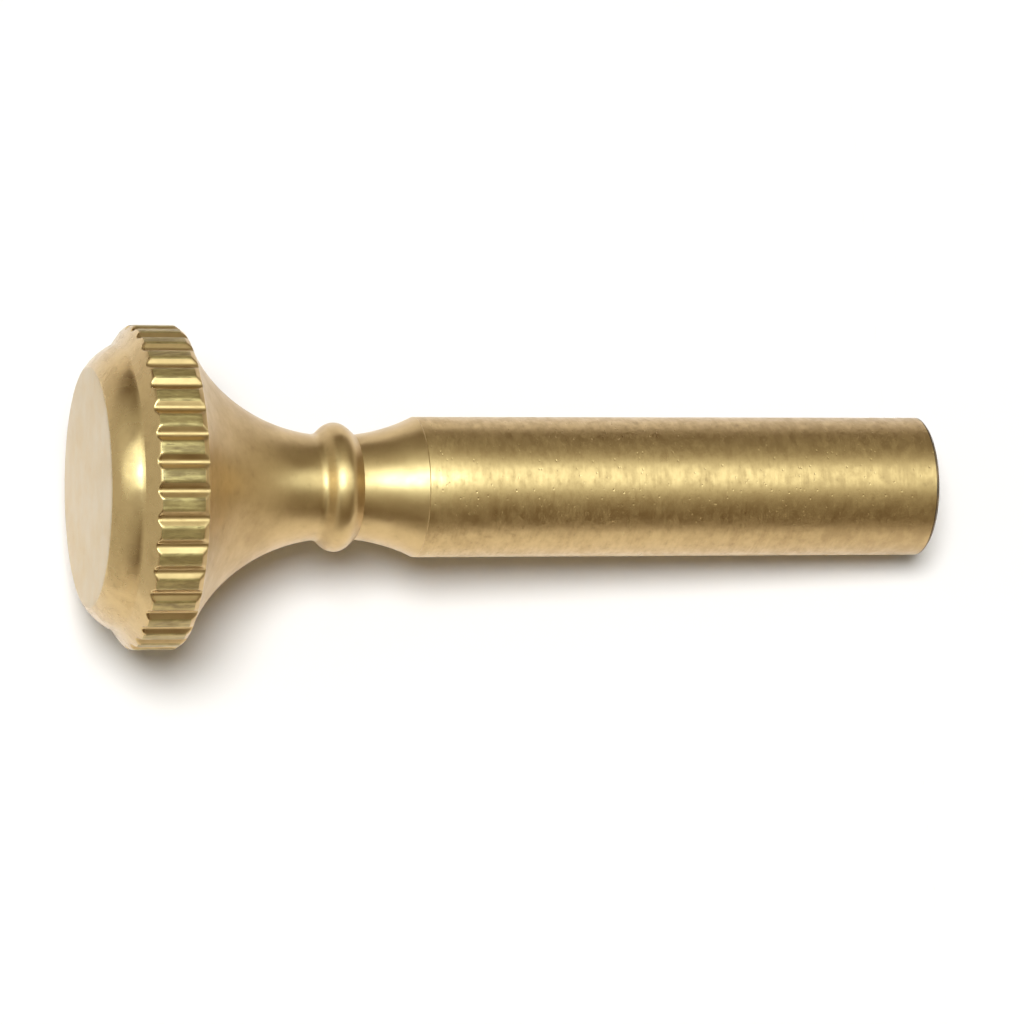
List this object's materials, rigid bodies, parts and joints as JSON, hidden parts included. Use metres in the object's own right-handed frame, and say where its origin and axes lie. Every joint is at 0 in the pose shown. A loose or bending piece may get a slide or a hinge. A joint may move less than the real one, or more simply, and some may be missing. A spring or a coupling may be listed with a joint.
{
  "type": "knob",
  "caption": "Turned brass knob with a straight-knurled round head, flared neck with a bead, and a long plain shank tapped at its end to screw onto a switch stem.",
  "frame": {"origin": "centre of the shank's end, where the turning axis meets the plane it stands on", "axes": "+Z along the turning axis from the shank's end to the head's front face; +X and +Y each through the middle of a knurl groove"},
  "size_m": [0.0126, 0.0126, 0.0343],
  "materials": {
    "turned_brass": "unlacquered turned brass, satin with fine lathe marks"
  },
  "bodies": {
    "root": {"knob": "turned_brass"}
  },
  "joints": []
}
